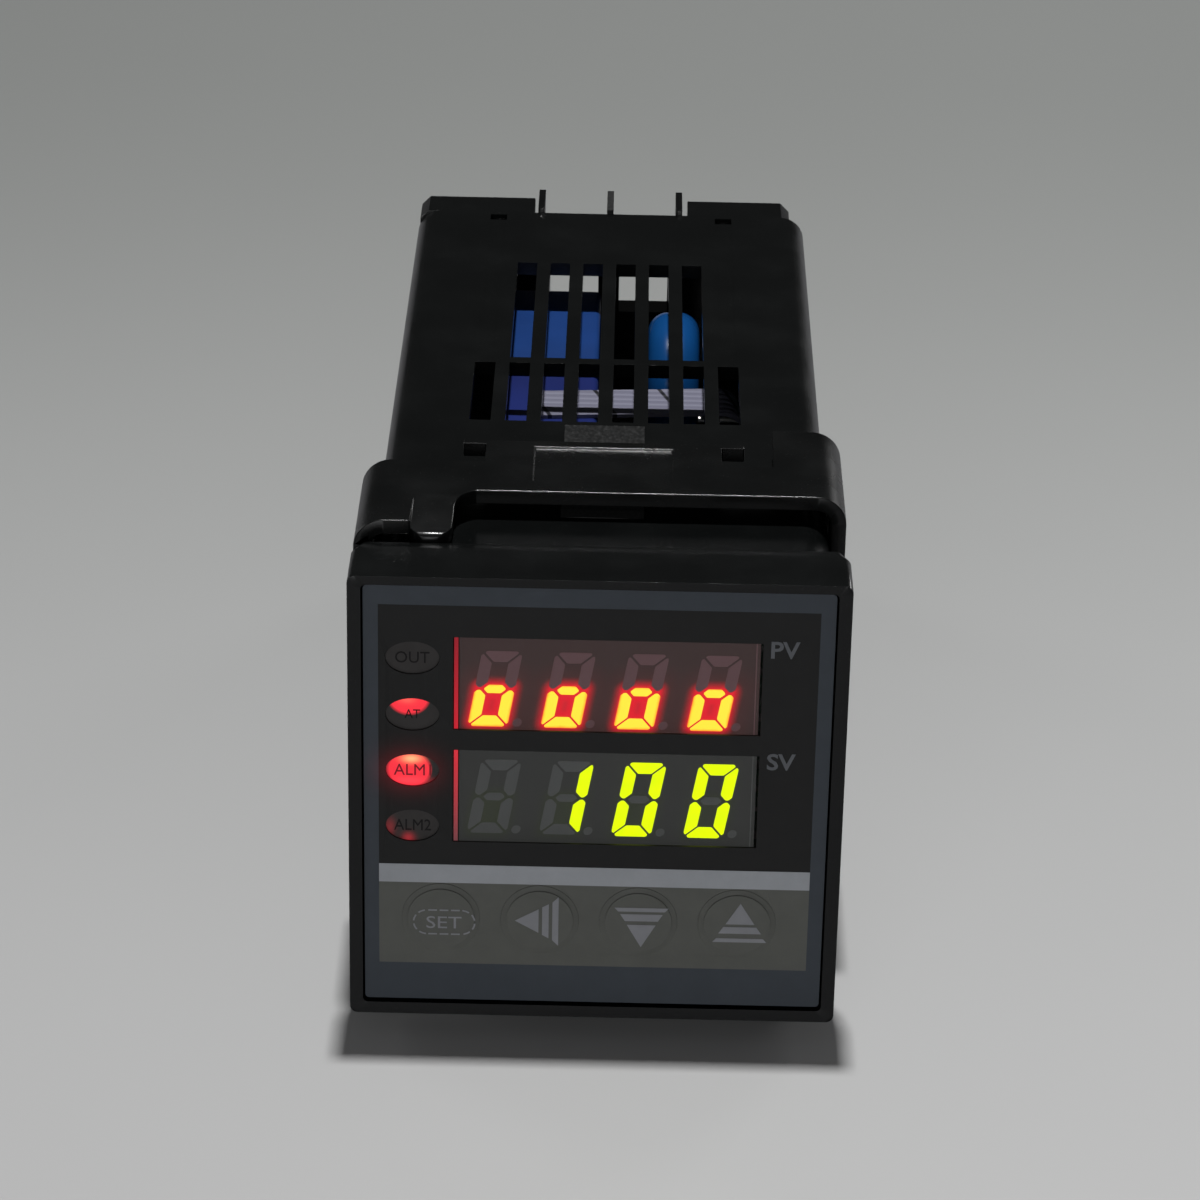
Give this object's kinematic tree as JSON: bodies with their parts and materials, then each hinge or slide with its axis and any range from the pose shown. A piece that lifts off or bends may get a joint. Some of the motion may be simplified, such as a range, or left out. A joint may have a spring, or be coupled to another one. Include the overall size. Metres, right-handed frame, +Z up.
{
  "type": "pid temperature controller",
  "caption": "Square panel-mounted PID temperature controller with process and set value displays, front keys, a clip-on ratchet bracket and rear screw terminals.",
  "frame": {"origin": "middle of the box's underside: below the instrument's axis, halfway along its depth, at the mounting bracket's lowest face", "axes": "+Y backwards along the instrument's axis from the display to the terminals, +Z up, +X to the right seen from the front"},
  "size_m": [0.048, 0.109, 0.0512],
  "materials": {
    "case_plastic": "fine-textured black ABS",
    "frame_plastic": "black moulded frame",
    "overlay_film": "printed satin film",
    "key_film": "embossed printed film",
    "smoked_window": "smoked translucent sheet",
    "display_face": "grey display face",
    "lamp_lens": "diffusing lamp guide",
    "circuit_board": "green solder mask",
    "relay_blue": "sealed relay case",
    "varistor_blue": "dipped resin",
    "ribbon_white": "flat cable",
    "ferrite": "pressed ferrite",
    "bobbin_tape": "wound coil under tape",
    "component_black": "moulded component body",
    "tinned_metal": "tinned contact metal",
    "screw_steel": "zinc-plated steel"
  },
  "bodies": {
    "case": {"housing": "case_plastic", "terminal_block": "case_plastic", "terminal_barriers": "case_plastic", "terminal_plates": "tinned_metal", "terminal_screws": "screw_steel"},
    "front_unit": {"front_frame": "frame_plastic", "front_overlay": "overlay_film", "display_filter": "smoked_window", "pv_display": "display_face", "sv_display": "display_face", "display_board": "circuit_board", "power_board": "circuit_board", "main_board": "circuit_board", "header_pins": "tinned_metal", "alarm_relay": "relay_blue", "output_relay": "relay_blue", "relay_bases": "component_black", "varistor": "varistor_blue", "ribbon_cable": "ribbon_white", "transformer_core": "ferrite", "transformer_bobbin": "bobbin_tape", "input_capacitor": "component_black", "output_capacitor": "component_black", "microcontroller": "component_black", "lamp_out": "lamp_lens", "lamp_at": "lamp_lens", "lamp_alm1": "lamp_lens", "lamp_alm2": "lamp_lens", "switch_set": "component_black", "switch_shift": "component_black", "switch_down": "component_black", "switch_up": "component_black"},
    "bracket": {"mounting_bracket": "case_plastic"},
    "key_set": {"key_set": "key_film"},
    "key_shift": {"key_shift": "key_film"},
    "key_down": {"key_down": "key_film"},
    "key_up": {"key_up": "key_film"}
  },
  "joints": [
    {"name": "unit_slide", "type": "slide", "parent": "case", "child": "front_unit", "axis": [0, -1, 0], "range_m": [0, 0.1]},
    {"name": "bracket_slide", "type": "slide", "parent": "case", "child": "bracket", "axis": [0, 1, 0], "range_m": [0, 0.1]},
    {"name": "key_set_press", "type": "slide", "parent": "front_unit", "child": "key_set", "axis": [0, 1, 0], "range_m": [0, 0.0003], "stiffness_N_per_m": 2000},
    {"name": "key_shift_press", "type": "slide", "parent": "front_unit", "child": "key_shift", "axis": [0, 1, 0], "range_m": [0, 0.0003], "stiffness_N_per_m": 2000},
    {"name": "key_down_press", "type": "slide", "parent": "front_unit", "child": "key_down", "axis": [0, 1, 0], "range_m": [0, 0.0003], "stiffness_N_per_m": 2000},
    {"name": "key_up_press", "type": "slide", "parent": "front_unit", "child": "key_up", "axis": [0, 1, 0], "range_m": [0, 0.0003], "stiffness_N_per_m": 2000}
  ]
}
